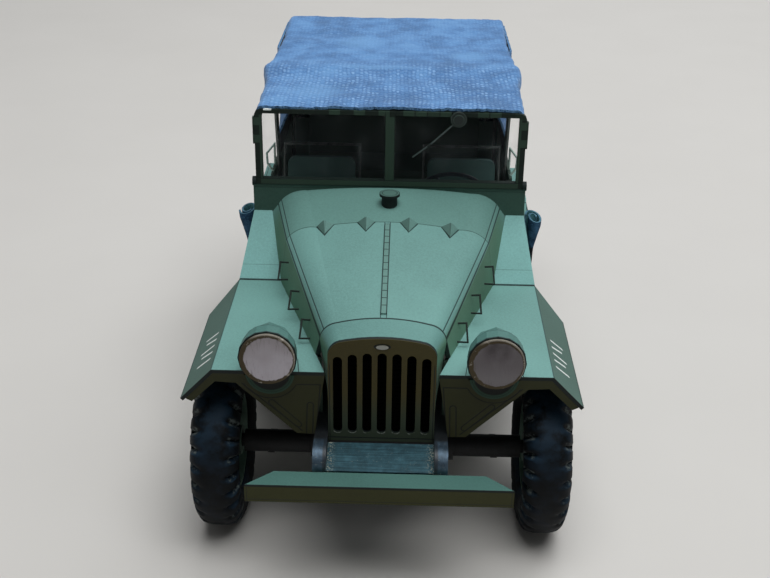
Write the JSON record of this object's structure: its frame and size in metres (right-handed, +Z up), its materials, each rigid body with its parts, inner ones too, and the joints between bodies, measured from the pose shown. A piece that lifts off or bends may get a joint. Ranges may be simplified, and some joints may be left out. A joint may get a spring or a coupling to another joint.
{
  "type": "card scale model of an army 4x4 car with a cloth top",
  "caption": "Small card model of an open army 4x4 car: denim roof and rolled door curtains, slotted grille, slanted wings, turning wheels.",
  "frame": {"origin": "on the table, under the middle of the length and width", "axes": "+Y from the bumper to the spare wheel, +X to the left side of the car, +Z up"},
  "size_m": [0.0662, 0.134, 0.0679],
  "materials": {
    "card_light": "printed pale green card",
    "card_dark": "printed dark olive card",
    "card_blue_grey": "hand-painted blue-grey card",
    "card_black": "black painted card",
    "card_seat": "painted card",
    "tyre_card": "matt blue-black paint",
    "disc_card": "olive card",
    "denim": "washed blue denim",
    "wire": "painted wire",
    "lens": "greyed silver paper",
    "clear_film": "clear film"
  },
  "bodies": {
    "car": {"body_side_left": "card_dark", "body_side_right": "card_dark", "bonnet": "card_light", "bonnet_catches": "wire", "bonnet_trim": "card_light", "bulkhead_and_dash": "card_dark", "canvas_back": "denim", "canvas_roof": "denim", "cross_members": "card_blue_grey", "curtain_rolls": "denim", "engine_and_gearbox": "card_black", "engine_bay_walls": "card_dark", "exhaust": "card_black", "filler_cap": "card_light", "floor_pan": "card_dark", "frame_rail_left": "card_blue_grey", "frame_rail_right": "card_blue_grey", "front_aprons": "card_dark", "front_axle": "card_black", "front_bumper": "card_light", "front_seats": "card_seat", "front_wing_left": "card_light", "front_wing_right": "card_light", "gear_levers": "wire", "grab_handles": "wire", "horn_plate": "card_blue_grey", "lamp_drums": "card_light", "lamp_lenses": "lens", "leaf_springs": "card_black", "radiator_core": "card_black", "radiator_grille": "card_dark", "radiator_shell": "card_light", "rear_axle": "card_black", "rear_bench": "card_seat", "rear_panel": "card_dark", "rear_wings": "card_light", "roof_bows": "wire", "screen_panel": "card_dark", "scuttle": "card_light", "seat_frames": "wire", "shoulders": "card_light", "splash_boards_and_steps": "card_light", "steering_wheel": "wire", "tyre_spare": "tyre_card", "wheel_spare": "disc_card", "windscreen_frame": "card_dark", "windscreen_panes": "clear_film", "wiper": "wire"},
    "wheel_front_left": {"tyre_front_left": "tyre_card", "wheel_front_left": "disc_card"},
    "wheel_front_right": {"tyre_front_right": "tyre_card", "wheel_front_right": "disc_card"},
    "wheel_rear_left": {"tyre_rear_left": "tyre_card", "wheel_rear_left": "disc_card"},
    "wheel_rear_right": {"tyre_rear_right": "tyre_card", "wheel_rear_right": "disc_card"}
  },
  "joints": [
    {"name": "front_left_turn", "type": "hinge", "parent": "car", "child": "wheel_front_left", "pos_m": [0.0282, -0.0445, 0.01508], "axis": [1, 0, 0], "continuous": true},
    {"name": "front_right_turn", "type": "hinge", "parent": "car", "child": "wheel_front_right", "pos_m": [-0.0282, -0.0445, 0.01508], "axis": [1, 0, 0], "continuous": true},
    {"name": "rear_left_turn", "type": "hinge", "parent": "car", "child": "wheel_rear_left", "pos_m": [0.0282, 0.0395, 0.01508], "axis": [1, 0, 0], "continuous": true},
    {"name": "rear_right_turn", "type": "hinge", "parent": "car", "child": "wheel_rear_right", "pos_m": [-0.0282, 0.0395, 0.01508], "axis": [1, 0, 0], "continuous": true}
  ]
}
